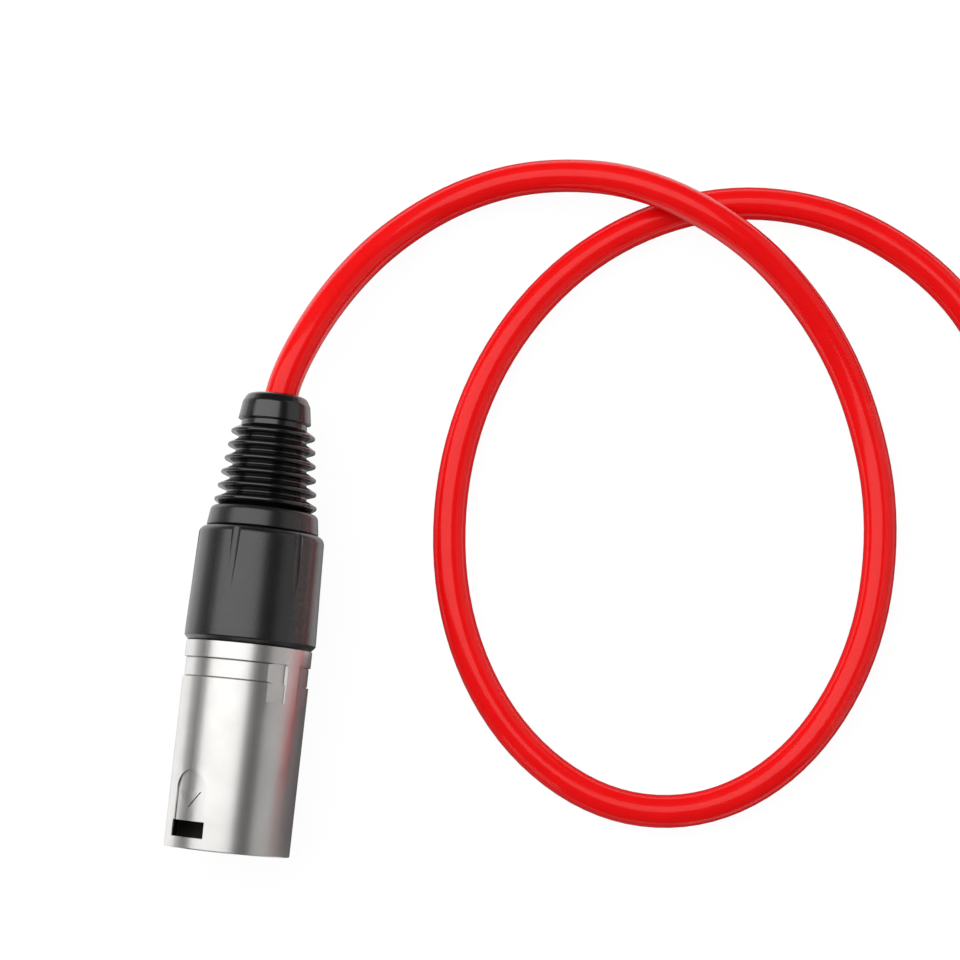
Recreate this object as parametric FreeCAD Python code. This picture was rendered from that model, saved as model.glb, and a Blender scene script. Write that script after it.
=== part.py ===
import FreeCAD, Part
import math
import os

# A balanced audio cable: a three-pin male plug, a red jacketed lead and a three-hole
# female plug. The male plug lies along +Y with its open end towards -Y, at x = 0, and
# everything rests on the plane z = 0. All sizes are millimetres.
#
# Each plug is drawn about its own axis first: local z counts from its mating end
# towards the cable, and local x points at the latch or the latch window.

V = FreeCAD.Vector

# Clearances
running_gap = 0.10
cable_gap = 0.15
seat_gap = 0.05

# How far a cutting shape reaches past what it cuts
cut_over = 1.0

# The lead
cable_d = 5.0
core_d = 1.3
core_spread = 0.9
core_straight = 1.2

# The shared plug interface: three contacts on a circle, and the sleeve round them
contact_circle_r = 4.1
contact_angle = 70.0
pin_d = 2.4
pin_nose = 0.96
pin_recess = 4.3
pin_shank_r = 1.4
pin_collar_r = 1.6
pin_collar_len = 2.0
cup_r = 1.4
cup_bore_r = 0.95
cup_len = 5.0
cup_floor = 1.0
sleeve_bore_r = 8.15
sleeve_depth = 16.0
key_width = 1.6
key_height = 0.9
key_setback = 2.0
key_root = 0.3
window_setback = 1.7
window_len = 2.4
window_width = 6.3

# The male shell
shell_rim_r = 9.3
shell_waist_r = 9.4
rim_round = 0.2
male_body_len = 30.45
stop_lip_r = 7.1
stop_lip_len = 1.0
seat_r = 7.75
boss_r = 8.6
boss_len = 7.0
arch_leg_len = 4.4
arch_inset = 0.2
arch_depth = 0.2
pointer_tip = 6.0
pointer_len = 2.4
pointer_half = 2.05
band_setback = 2.4
band_len = 3.0
band_depth = 0.25
band_line_width = 0.25
band_line_depth = 0.25
bridge_width = 2.4
pocket_len = 2.7
pocket_tilt = 12.0
pocket_depth = 0.32
shell_roll = 38.6

# The insulating insert
insert_disc_len = 4.0
insert_skirt_len = 6.0
insert_skirt_wall = 0.9
earth_tab_angle = 125.0
earth_tab_width = 2.8
earth_tab_sheet = 0.5
earth_tab_foot = 2.4

# The chuck that grips the jacket
chuck_cup_len = 7.0
chuck_cup_wall = 1.2
chuck_finger_len = 12.0
chuck_root_r = 6.2
chuck_tip_r = 4.4
chuck_floor = 1.2
chuck_edge_round = 0.4
chuck_slot_width = 0.8
chuck_slots = 4

# The back nut
nut_len = 17.3
nut_r = 9.8
nut_top_r = 9.35
nut_lip_len = 1.8
nut_lip_r = 9.15
nut_chamfer_len = 0.8
nut_edge_round = 0.3
nut_shoulder_round = 1.2
nut_thread_len = 8.0
nut_floor_len = 2.7
flute_count = 6
flute_angle = 19.2
flute_r = 1.0
flute_len = 10.4
flute_depth = 0.34

# The coding ring and the ribbed boot
ring_len = 3.2
ring_r = 8.42
ring_top_r = 8.0
ring_edge_round = 0.25
ring_top_round = 0.9
ring_wall = 1.8
boot_flange_len = 2.4
boot_flange_step = 0.65
boot_neck_r = 7.25
rib_count = 6
rib_pitch = 2.094
rib_first = 0.95
rib_first_r = 7.7
rib_last_r = 6.33
rib_crest = 0.4
rib_nut_flank = 0.55
rib_tail_flank = 0.8
rib_root_round = 0.25
rib_crest_round = 0.28
cup_foot_round = 0.12
core_first_r = 6.1
core_last_r = 5.0
cup_first_r = 5.5
cup_last_r = 5.1
cup_tail_len = 4.0
cup_dome_len = 1.3
cup_dome_round = 0.8
boot_tail = 17.4
boot_mouth_r = 3.9
boot_bell_len = 9.0
boot_funnel_r = 5.6
boot_funnel_len = 9.0

# The female plug
nose_r = 7.95
nose_len = 15.8
nose_bore_r = 7.0
nose_round = 0.5
female_body_len = 33.45
female_shell_r = 9.4
female_band_setback = 1.0
female_band_len = 0.7
edge_round = 0.3
socket_r = 1.8
socket_bore_r = 1.23
socket_bore_len = 11.0
socket_slit = 0.35
socket_slit_len = 7.7
socket_recess = 0.9
socket_mouth_r = 1.5
insert_recess = 0.4
latch_floor = 3.8
latch_slot_width = 6.4
latch_slot_start = 8.0
latch_slot_end = 30.4
latch_width = 5.8
latch_low = 6.3
latch_high = 7.6
latch_front_gap = 0.8
latch_round = 0.4
tooth_proud = 1.2
tooth_ramp = 1.3
tooth_round = 0.15
tooth_play = 0.1
tooth_side_play = 0.5
pad_proud = 0.8
pad_len = 9.0
pad_front_gap = 1.2
pad_slope = 0.5
pad_dip = 0.35
pad_dip_round = 4.0
latch_heel = 0.6
latch_pivot = 28.2
latch_pivot_height = 7.1
latch_pivot_r = 0.6
latch_hub_r = 1.3
latch_pin_len = 10.4
spring_r = 1.3
spring_wire_d = 0.4
spring_turns = 3.5
spring_knots = 8
spring_place = 20.5

# Where the plugs lie
female_x = 212.0
female_rim_y = 76.0

# The put-away coil and its tie
coil_turns = 13.25
coil_layers = 4
coil_mean_r = 30.0
coil_pitch = 5.5
layer_pitch = 5.5
tie_width = 12.0
tie_thickness = 0.8
tie_gap = 0.25
tie_round = 5.0
tie_tail_len = 14.0
climb_turns = 0.5

male_len = male_body_len + nut_len + ring_len + boot_tail
male_rim_y = -male_len / 2
axis_height = nut_r
cable_r = cable_d / 2
core_r = core_d / 2
sleeve_end = sleeve_depth + stop_lip_len

# The lead's route from the male boot to the coil, chosen by hand
cord_start = 58.4
lead_route = [
    (0.0, male_rim_y + cord_start, axis_height),
    (0.0, 32.9, axis_height),
    (2.1, 41.1, 9.4),
    (7.0, 51.7, 6.9),
    (13.9, 61.3, 3.2),
    (24.0, 69.4, 2.5),
    (36.2, 73.7, 6.0),
    (51.6, 73.3, 12.5),
    (67.7, 66.8, 12.5),
    (79.9, 57.0, 7.0),
    (88.5, 44.1, 2.6),
    (93.9, 26.4, 2.5),
    (93.1, 6.0, 2.5),
    (84.6, -11.7, 2.5),
    (70.7, -21.7, 2.5),
    (54.2, -22.1, 2.5),
    (38.8, -12.2, 2.5),
    (28.9, 5.4, 2.5),
    (26.8, 27.1, 2.5),
    (32.5, 47.4, 2.5),
    (45.1, 63.6, 2.5),
    (62.8, 72.8, 2.5),
    (82.1, 73.0, 2.5),
    (99.4, 64.6, 2.5),
    (109.5, 51.9, 2.5),
    (114.0, 36.9, 2.9),
    (115.0, 23.4, 3.5),
    (115.0, 13.9, 3.5),
]
coil_start = V(lead_route[-1][0], lead_route[-1][1] - cable_d, lead_route[-1][2])
coil_out_r = coil_mean_r + coil_turns / coil_layers * coil_pitch / 2
coil_in_r = coil_mean_r - coil_turns / coil_layers * coil_pitch / 2
coil_x = coil_start.x + coil_out_r
coil_y = coil_start.y
coil_top_z = coil_start.z + (coil_layers - 1) * layer_pitch
coil_end = V(coil_x, coil_y - coil_out_r, coil_top_z)

# The tail's route from the coil to the female boot
tail_route = [
    (coil_end.x + cable_d, coil_end.y, coil_end.z),
    (170.0, coil_end.y, coil_end.z),
    (186.0, -28.6, 15.0),
    (200.0, -21.1, 8.5),
    (209.0, -8.6, 7.5),
    (female_x, 4.9, axis_height),
    (female_x, 15.9, axis_height),
]


def rounded(points):
    """A closed wire through (x, y) or (x, y, round) points in the XZ plane."""
    places = [V(p[0], 0, p[1]) for p in points]
    cuts = []
    for i, place in enumerate(places):
        radius = points[i][2] if len(points[i]) > 2 else 0
        if not radius:
            cuts.append((place, place, None))
            continue
        back = (places[i - 1] - place).normalize()
        ahead = (places[(i + 1) % len(places)] - place).normalize()
        half = back.getAngle(ahead) / 2
        reach = radius / math.tan(half)
        centre = place + (back + ahead).normalize() * (radius / math.sin(half))
        middle = centre + (place - centre).normalize() * radius
        cuts.append((place + back * reach, place + ahead * reach, middle))
    edges = []
    for i, (first, last, middle) in enumerate(cuts):
        if middle is not None:
            edges.append(Part.Arc(first, middle, last).toShape())
        following = cuts[(i + 1) % len(cuts)][0]
        if last.distanceToPoint(following) > 1e-6:
            edges.append(Part.makeLine(last, following))
    return Part.Wire(edges)


def turned(points):
    """A solid turned about the z axis from its outline of (radius, z) points."""
    return Part.Face(rounded(points)).revolve(V(0, 0, 0), V(0, 0, 1), 360)


def rod(radius, low, high, x=0.0, y=0.0):
    return Part.makeCylinder(radius, high - low, V(x, y, low), V(0, 0, 1))


def block(x0, x1, y0, y1, z0, z1):
    return Part.makeBox(x1 - x0, y1 - y0, z1 - z0, V(x0, y0, z0))


def turn_about_axis(shape, angle):
    copy = shape.copy()
    copy.rotate(V(0, 0, 0), V(0, 0, 1), angle)
    return copy


def contact_places(side):
    """The centres of contacts 1, 2 and 3. side is -1 on the male plug, 1 on the female."""
    angles = [side * contact_angle, -side * contact_angle, 180.0]
    return [
        (contact_circle_r * math.cos(math.radians(a)), contact_circle_r * math.sin(math.radians(a)))
        for a in angles
    ]


def path_through(points):
    """Straight runs joined by tangent arcs, with the radius of each arc."""
    places = [V(*p) for p in points]
    edges = []
    radii = []
    here = places[0]
    for i in range(1, len(places) - 1):
        back = places[i - 1] - places[i]
        ahead = places[i + 1] - places[i]
        shorter = min(back.Length, ahead.Length)
        back.normalize()
        ahead.normalize()
        turn = math.pi - back.getAngle(ahead)
        reach = 0.45 * shorter
        radius = reach / math.tan(turn / 2)
        first = places[i] + back * reach
        last = places[i] + ahead * reach
        bisector = (back + ahead).normalize()
        centre = places[i] + bisector * (radius / math.cos(turn / 2))
        middle = centre - bisector * radius
        edges.append(Part.LineSegment(here, first).toShape())
        edges.append(Part.Arc(first, middle, last).toShape())
        radii.append(radius)
        here = last
    edges.append(Part.LineSegment(here, places[-1]).toShape())
    return Part.Wire(edges), radii


def swept(wire, radius, start, heading):
    ring = Part.Wire([Part.makeCircle(radius, start, heading)])
    return wire.makePipeShell([ring], True, False)


def tube(name, points, radius):
    wire, radii = path_through(points)
    solid = swept(wire, radius, V(*points[0]), V(*points[1]) - V(*points[0]))
    print(name, "arc radii", [round(r, 1) for r in radii])
    print(
        name,
        "length", round(wire.Length, 1),
        "volume over section x length", round(solid.Volume / (math.pi * radius**2 * wire.Length), 4),
    )
    return solid, wire.Length


# The male plug's own pieces


def make_male_shell():
    shell = turned([
        (sleeve_bore_r, 0, rim_round / 2),
        (shell_rim_r, 0, rim_round),
        (shell_waist_r, male_body_len),
        (boss_r, male_body_len),
        (boss_r, male_body_len + boss_len, rim_round),
        (seat_r, male_body_len + boss_len),
        (seat_r, sleeve_end),
        (stop_lip_r, sleeve_end),
        (stop_lip_r, sleeve_depth),
        (sleeve_bore_r, sleeve_depth),
    ])
    over = shell_rim_r + cut_over
    key = block(
        -sleeve_bore_r - key_root, -sleeve_bore_r + key_height,
        -key_width / 2, key_width / 2,
        key_setback, sleeve_depth + stop_lip_len / 2,
    )
    shell = shell.fuse(key)
    window_end = window_setback + window_len
    window = block(stop_lip_r, over, -window_width / 2, window_width / 2, window_setback, window_end)
    band_end = male_body_len - band_setback
    band_start = band_end - band_len
    skin = Part.makeCone(shell_rim_r - arch_depth, shell_waist_r - arch_depth, male_body_len)
    arch = make_arch(window_end, over).cut(make_pointer(over)).cut(skin)
    band_floor = shell_waist_r - band_depth
    band = recess(over, band_floor, band_start, band_end)
    low_line = make_line(over, band_floor, band_start, 1)
    high_line = make_line(over, band_floor, band_end, -1)
    bridges = block(-bridge_width / 2, bridge_width / 2, -over, over, band_start, band_end)
    shell = shell.cut(window).cut(arch)
    for ring in (band, low_line, high_line):
        shell = shell.cut(ring.cut(bridges))
    pocket_face = shell_waist_r - pocket_depth
    for side in (90, -90):
        for hand in (-1, 1):
            shell = shell.cut(make_pocket(side, hand, pocket_face, band_start - pocket_len, band_start))
            shell = shell.cut(make_pocket(side, hand, pocket_face - band_depth, band_start, band_end))
    return shell.removeSplitter()


def make_arch(base, over):
    """What the sunk arch above the window takes away, as a prism that passes through the wall."""
    half = window_width / 2 - arch_inset
    spring_line = base + arch_leg_len
    legs = block(stop_lip_r, over, -half, half, base, spring_line)
    head = Part.makeCylinder(half, over - stop_lip_r, V(stop_lip_r, 0, spring_line), V(1, 0, 0))
    return legs.fuse(head)


def make_pointer(over):
    """The triangle that is left standing in the arch and points at the window."""
    corners = [
        V(stop_lip_r, 0, pointer_tip),
        V(stop_lip_r, pointer_half, pointer_tip + pointer_len),
        V(stop_lip_r, -pointer_half, pointer_tip + pointer_len),
    ]
    return Part.Face(Part.makePolygon(corners + corners[:1])).extrude(V(over - stop_lip_r, 0, 0))


def recess(over, floor, low, high):
    """What a groove round a body removes, down to the radius of its floor."""
    return rod(over, low, high).cut(rod(floor, low, high))


def make_line(over, floor, edge, heading):
    """A thin groove at a band's edge: a sheer wall, then a slope up to the band's floor."""
    far = edge + heading * band_line_width
    return turned([(over, edge), (floor - band_line_depth, edge), (floor, far), (over, far)])


def make_pocket(side, hand, face, low, high):
    """A flat beside a bridge, deepest at the bridge and fading away from it."""
    over = shell_rim_r + cut_over
    flat = block(face, over, -over, over, low, high)
    flat = turn_about_axis(flat, hand * pocket_tilt)
    edge = bridge_width / 2
    keep = block(0, over, edge, over, low, high) if hand > 0 else block(0, over, -over, -edge, low, high)
    return turn_about_axis(flat.common(keep), side)


def make_male_insert():
    front_r = stop_lip_r - running_gap
    body_r = seat_r - running_gap
    back = sleeve_end + insert_disc_len
    insert = turned([
        (0, sleeve_depth),
        (front_r, sleeve_depth),
        (front_r, sleeve_end + seat_gap),
        (body_r, sleeve_end + seat_gap),
        (body_r, back + insert_skirt_len),
        (body_r - insert_skirt_wall, back + insert_skirt_len),
        (body_r - insert_skirt_wall, back),
        (0, back),
    ])
    for x, y in contact_places(-1):
        insert = insert.cut(rod(pin_shank_r + seat_gap, sleeve_depth - cut_over, back, x, y))
        insert = insert.cut(rod(pin_collar_r + seat_gap, back - pin_collar_len, back, x, y))
    return insert


def make_pin(x, y):
    """A solid contact with a collar and a solder cup that opens towards the cable."""
    radius = pin_d / 2
    back = sleeve_end + insert_disc_len
    pin = turned([
        (0, pin_recess),
        (radius, pin_recess, pin_nose),
        (radius, sleeve_depth),
        (pin_shank_r, sleeve_depth),
        (pin_shank_r, back - pin_collar_len),
        (pin_collar_r, back - pin_collar_len),
        (pin_collar_r, back),
        (cup_r, back),
        (cup_r, back + cup_len),
        (0, back + cup_len),
    ])
    pin = pin.cut(cup_cut(back + cup_len))
    pin.translate(V(x, y, 0))
    return pin


def cup_cut(end):
    """The hollow of a solder cup, open on the side away from the axis."""
    hollow = rod(cup_bore_r, end - cup_len + cup_floor, end + cut_over)
    return hollow.fuse(block(0, 2 * cup_r, -cup_bore_r, cup_bore_r, end - cup_len / 2, end + cut_over))


def make_earth_tab(back, angle):
    """A flat spring tab on the insert's back that bears on the shell's wall."""
    outer = seat_r - running_gap - insert_skirt_wall - seat_gap
    half = earth_tab_width / 2
    tab = block(outer - earth_tab_sheet, outer, -half, half, back, back + insert_skirt_len - seat_gap)
    foot = block(outer - earth_tab_foot, outer, -half, half, back, back + earth_tab_sheet)
    return turn_about_axis(tab.fuse(foot).common(rod(outer, back, back + insert_skirt_len)), angle)


# The pieces both plugs share. end is the local z of the shell's shoulder.


def insert_back(end):
    return end - male_body_len + sleeve_end + insert_disc_len


def make_chuck(end):
    """The collet: a cup that bears on the insert, and slotted fingers round the jacket."""
    start = insert_back(end) + insert_skirt_len
    cup_end = start + chuck_cup_len
    tip = cup_end + chuck_finger_len
    grip_r = cable_r + seat_gap
    cup_outer = seat_r - running_gap
    slot_half = chuck_slot_width / 2
    chuck = turned([
        (cup_outer - chuck_cup_wall, start),
        (cup_outer, start),
        (cup_outer, cup_end - chuck_floor / 2, chuck_edge_round),
        (chuck_root_r, cup_end + chuck_floor / 6),
        (chuck_tip_r, tip, edge_round),
        (grip_r, tip),
        (grip_r, cup_end - chuck_floor),
        (cup_outer - chuck_cup_wall, cup_end - chuck_floor - chuck_edge_round),
    ])
    slot = block(0, cup_outer + cut_over, -slot_half, slot_half, cup_end + chuck_floor, tip + cut_over)
    for i in range(chuck_slots):
        chuck = chuck.cut(turn_about_axis(slot, 360 * i / chuck_slots))
    return chuck


def jacket_start(end):
    return insert_back(end) + insert_skirt_len + chuck_cup_len - chuck_floor


def make_cable_end(end, cord_from):
    return rod(cable_r, jacket_start(end), cord_from)


def make_cores(end, side, x, y):
    """One core from the jacket's face to its solder cup."""
    cup_end = insert_back(end) + cup_len
    face = jacket_start(end)
    scale = core_spread / contact_circle_r
    points = [
        (x, y, cup_end - cup_len / 3),
        (x, y, cup_end + core_straight),
        (x * scale, y * scale, face - core_straight),
        (x * scale, y * scale, face),
    ]
    wire, radii = path_through(points)
    return swept(wire, core_r, V(*points[0]), V(0, 0, 1))


def make_nut(end):
    top = end + nut_len
    cavity_r = boot_neck_r + running_gap + boot_flange_step + running_gap
    thread_r = boss_r + running_gap
    nut = turned([
        (thread_r, end + seat_gap),
        (nut_lip_r, end + seat_gap, nut_edge_round / 2),
        (nut_r, end + nut_chamfer_len, nut_edge_round),
        (nut_r, end + nut_lip_len),
        (nut_top_r, top, nut_shoulder_round),
        (boot_neck_r + running_gap, top),
        (boot_neck_r + running_gap, top - nut_floor_len),
        (cavity_r, top - nut_floor_len),
        (cavity_r, end + nut_thread_len),
        (thread_r, end + nut_thread_len),
    ])
    taper = (nut_r - nut_top_r) / (nut_len - nut_lip_len)
    foot = V(nut_top_r + taper * flute_len + flute_r, 0, top - flute_len)
    head = V(nut_top_r - flute_depth + flute_r, 0, top)
    slope = (head - foot) / flute_len
    flute = Part.makeCylinder(
        flute_r, flute_len + 2 * cut_over, foot - slope * cut_over, slope
    )
    for i in range(flute_count):
        nut = nut.cut(turn_about_axis(flute, flute_angle + 360 * i / flute_count))
    return nut


def make_coding_ring(end):
    low = end + nut_len + seat_gap
    high = low + ring_len - seat_gap
    return turned([
        (ring_r - ring_wall, low),
        (ring_r, low, ring_edge_round),
        (ring_top_r, high, ring_top_round),
        (ring_r - ring_wall, high),
    ])


def rib_outline(start):
    """The ribs, from the coding ring to the tail. The first one rises from the ring's seat."""
    points = []
    for i in range(rib_count):
        share = i / (rib_count - 1)
        rim = rib_first_r + share * (rib_last_r - rib_first_r)
        root = core_first_r + share * (core_last_r - core_first_r)
        middle = start + rib_first + i * rib_pitch
        crest_start = middle - rib_crest / 2
        crest_end = middle + rib_crest / 2
        if i > 0:
            points.append((root, crest_start - rib_nut_flank, rib_root_round))
        points.append((rim, crest_start, rib_crest_round))
        points.append((rim, crest_end, rib_crest_round))
        points.append((root, crest_end + rib_tail_flank, rib_root_round))
    return points


def make_boot(end):
    """The soft strain relief: flange in the nut, ribs, and a bell-mouthed tail."""
    floor = end + nut_len - nut_floor_len
    front = floor - boot_flange_len - seat_gap
    collar = end + nut_len + ring_len
    tail = collar + boot_tail
    flange_r = boot_neck_r + boot_flange_step
    ring_seat_r = ring_r - ring_wall - seat_gap
    bore_r = cable_r + cable_gap
    cup_start = tail - cup_tail_len
    outline = [
        (boot_funnel_r, front),
        (flange_r, front, edge_round),
        (flange_r, floor - seat_gap),
        (boot_neck_r, floor - seat_gap),
        (boot_neck_r, end + nut_len),
        (ring_seat_r, end + nut_len),
        (ring_seat_r, collar + seat_gap),
    ]
    outline += rib_outline(collar)
    outline += [
        (core_last_r - cup_foot_round, cup_start),
        (cup_first_r, cup_start, cup_foot_round),
        (cup_last_r, tail - cup_dome_len, cup_dome_round),
        ((cup_last_r + boot_mouth_r) / 2, tail - cup_dome_len / 6, cup_dome_round),
        (boot_mouth_r, tail),
        (bore_r, tail - boot_bell_len),
        (bore_r, front + boot_funnel_len),
    ]
    return turned(outline)


# The female plug's own pieces


def across_rod(radius, length):
    """A round bar on the latch's hinge line."""
    foot = V(latch_pivot_height, -length / 2, latch_pivot)
    return Part.makeCylinder(radius, length, foot, V(0, 1, 0))


def make_female_shell():
    shift = female_body_len - male_body_len
    seat_start = sleeve_end + shift
    shell = turned([
        (nose_bore_r, 0),
        (nose_r, 0, nose_round),
        (nose_r, nose_len),
        (female_shell_r, nose_len, edge_round),
        (female_shell_r, female_body_len),
        (boss_r, female_body_len),
        (boss_r, female_body_len + boss_len, rim_round),
        (seat_r, female_body_len + boss_len),
        (seat_r, seat_start),
        (nose_bore_r, seat_start),
    ])
    half = latch_slot_width / 2
    over = female_shell_r + cut_over
    slot = block(latch_floor, over, -half, half, latch_slot_start, latch_slot_end)
    keyway = block(
        -over, -sleeve_bore_r + key_height + 2 * running_gap,
        -key_width / 2 - running_gap, key_width / 2 + running_gap,
        -cut_over, nose_len,
    )
    hinge = across_rod(latch_pivot_r + seat_gap, latch_pin_len + 2 * seat_gap)
    band_end = female_body_len - female_band_setback
    band_start = band_end - female_band_len
    band = recess(over, female_shell_r - band_depth, band_start, band_end)
    return shell.cut(slot).cut(keyway).cut(hinge).cut(band)


def make_female_insert():
    shift = female_body_len - male_body_len
    step = sleeve_end + shift
    back = step + insert_disc_len
    front_r = nose_bore_r - running_gap
    body_r = seat_r - running_gap
    insert = turned([
        (0, insert_recess),
        (front_r, insert_recess, edge_round),
        (front_r, step + seat_gap),
        (body_r, step + seat_gap),
        (body_r, back + insert_skirt_len),
        (body_r - insert_skirt_wall, back + insert_skirt_len),
        (body_r - insert_skirt_wall, back),
        (0, back),
    ])
    for x, y in contact_places(1):
        face = insert_recess + socket_recess
        insert = insert.cut(rod(socket_mouth_r, 0, face, x, y))
        insert = insert.cut(rod(socket_r + seat_gap, face - seat_gap, back + cut_over, x, y))
    half = latch_slot_width / 2 + running_gap
    outside = seat_r + cut_over
    flat_start = latch_slot_start - running_gap
    flat = block(latch_floor, outside, -half, half, flat_start, latch_slot_end + cut_over)
    pin_way = block(
        latch_pivot_height - latch_pivot_r - running_gap, outside,
        -seat_r, seat_r,
        latch_pivot - latch_pivot_r - running_gap, latch_pivot + latch_pivot_r + running_gap,
    )
    return insert.cut(flat).cut(pin_way)


def make_socket(x, y):
    shift = female_body_len - male_body_len
    back = sleeve_end + shift + insert_disc_len
    face = insert_recess + socket_recess
    socket = turned([
        (0, face),
        (socket_r, face, edge_round),
        (socket_r, back),
        (cup_r, back),
        (cup_r, back + cup_len),
        (0, back + cup_len),
    ])
    socket = socket.cut(rod(socket_bore_r, 0, face + socket_bore_len))
    socket = socket.cut(cup_cut(back + cup_len))
    slit = block(0, 2 * socket_r, -socket_slit / 2, socket_slit / 2, 0, socket_slit_len)
    socket = socket.cut(turn_about_axis(slit, 90))
    socket.translate(V(x, y, 0))
    return socket


def make_latch_lever():
    """The latch: a plate on a hinge pin, with a tooth in front and a thumb pad behind."""
    half = latch_width / 2
    front = latch_slot_start + latch_front_gap
    tooth_end = nose_len - window_setback - tooth_play
    tooth_start = nose_len - window_setback - window_len + tooth_play
    ramp_start = tooth_start + edge_round - tooth_ramp
    pad_start = nose_len + pad_front_gap
    pad_end = pad_start + pad_len
    pad_top = female_shell_r + pad_proud
    tooth_top = nose_r + tooth_proud
    outline = rounded([
        (latch_low, front),
        (latch_high, front, latch_round),
        (latch_high, ramp_start),
        (tooth_top, tooth_start + edge_round, tooth_round),
        (tooth_top, tooth_end, tooth_round),
        (latch_high, tooth_end),
        (latch_high, pad_start),
        (pad_top, pad_start + pad_slope, latch_round),
        (pad_top - pad_dip, (pad_start + pad_end) / 2, pad_dip_round),
        (pad_top, pad_end - pad_slope, latch_round),
        (latch_high + latch_heel, pad_end),
        (latch_high + latch_heel, latch_pivot),
        (latch_low, latch_pivot),
    ])
    plate = Part.Face(outline).extrude(V(0, latch_width, 0))
    plate.translate(V(0, -half, 0))
    hub = across_rod(latch_hub_r, latch_width)
    bore = across_rod(latch_pivot_r + seat_gap, latch_width + 2 * cut_over)
    tooth_sides = block(latch_high, tooth_top, -half, half, ramp_start, tooth_end)
    limit = window_width / 2 - tooth_side_play
    keep = block(latch_high, tooth_top, -limit, limit, ramp_start, tooth_end)
    return plate.fuse(hub).cut(bore).cut(tooth_sides.cut(keep)).removeSplitter()


def make_latch_pin():
    return across_rod(latch_pivot_r, latch_pin_len)


def make_latch_spring():
    """A small coil spring that stands on the insert under the thumb pad."""
    wire_r = spring_wire_d / 2
    low = latch_floor + wire_r + seat_gap
    high = latch_low - wire_r - seat_gap
    rise = (high - low) / spring_turns

    def place(turn):
        angle = 2 * math.pi * turn
        across = spring_r * math.sin(angle)
        along = spring_r * math.cos(angle)
        heading = V(rise / (2 * math.pi), along, -across)
        return V(low + rise * turn, across, spring_place + along), heading.normalize()

    edges = []
    for i in range(int(spring_turns * spring_knots)):
        edges += biarc(*place(i / spring_knots), *place((i + 1) / spring_knots))
    return swept(Part.Wire(edges), wire_r, *place(0))


# The wound coil and its tie


def spiral_point(turn):
    """The strand's centre and direction after so many turns from the coil's start."""
    per_layer = coil_turns / coil_layers
    leg = min(int(turn / per_layer), coil_layers - 1)
    along = turn - leg * per_layer
    inward = leg % 2 == 0
    slope = -coil_pitch if inward else coil_pitch
    radius = (coil_out_r if inward else coil_in_r) + slope * along
    angle = math.pi + 2 * math.pi * turn
    layer, rise = climb_at(turn, per_layer)
    place = V(
        coil_x + radius * math.cos(angle),
        coil_y + radius * math.sin(angle),
        coil_start.z + layer * layer_pitch,
    )
    middle_of_climb = abs(along) < 1e-9 and 0 < leg
    steady = 0 if middle_of_climb or turn < 1e-9 or turn > coil_turns - 1e-9 else slope / (2 * math.pi)
    heading = V(
        steady * math.cos(angle) - radius * math.sin(angle),
        steady * math.sin(angle) + radius * math.cos(angle),
        rise * layer_pitch / (2 * math.pi),
    )
    return place, heading.normalize()


def climb_at(turn, per_layer):
    """How many layers up the strand is, and how fast it climbs, per turn."""
    height = 0.0
    rise = 0.0
    for i in range(1, coil_layers):
        share = (turn - i * per_layer) / climb_turns + 0.5
        if share >= 1:
            height += 1
        elif share > 0:
            height += share * share * (3 - 2 * share)
            rise = 6 * share * (1 - share) / climb_turns
    return height, rise


def biarc(p0, t0, p1, t1):
    """Two arcs that leave p0 along t0, meet smoothly, and reach p1 along t1."""
    chord = p1 - p0
    both = t0 + t1
    a = 2 * (1 - t0.dot(t1))
    b = 2 * chord.dot(both)
    c = -chord.dot(chord)
    if abs(a) < 1e-9:
        d = -c / b
    else:
        d = (-b + math.sqrt(b * b - 4 * a * c)) / (2 * a)
    joint = (p0 + p1 + (t0 - t1) * d) * 0.5
    return [arc_from(p0, t0, joint), arc_from(p1, t1 * -1, joint, True)]


def arc_from(start, heading, end, reverse=False):
    """The arc from start, along heading, to end; reversed when it is drawn from its end."""
    chord = end - start
    across = chord - heading * chord.dot(heading)
    if across.Length < 1e-7:
        edge = Part.LineSegment(start, end) if not reverse else Part.LineSegment(end, start)
        return edge.toShape()
    across.normalize()
    radius = chord.dot(chord) / (2 * chord.dot(across))
    centre = start + across * radius
    middle = centre + ((start + end) * 0.5 - centre).normalize() * radius
    arc = Part.Arc(end, middle, start) if reverse else Part.Arc(start, middle, end)
    return arc.toShape()


def coil_knots():
    """The turns at which the biarcs join: every quarter, and both ends of each climb."""
    per_layer = coil_turns / coil_layers
    knots = {0.0, coil_turns}
    for i in range(int(coil_turns * 4) + 1):
        knots.add(i / 4)
    for i in range(1, coil_layers):
        centre = i * per_layer
        half = climb_turns / 2
        knots = {k for k in knots if abs(k - centre) > half + 0.05}
        knots |= {centre - half, centre, centre + half}
    joined = sorted(k for k in knots if k <= coil_turns)
    return [k for i, k in enumerate(joined) if i == 0 or k - joined[i - 1] > 0.02]


def coil_wire():
    edges = []
    lead_in = V(lead_route[-1][0], lead_route[-1][1], lead_route[-1][2])
    edges.append(Part.LineSegment(lead_in, coil_start).toShape())
    knots = coil_knots()
    for first, last in zip(knots, knots[1:]):
        edges += biarc(*spiral_point(first), *spiral_point(last))
    edges.append(Part.LineSegment(coil_end, V(*tail_route[0])).toShape())
    return Part.Wire(edges)


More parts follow.
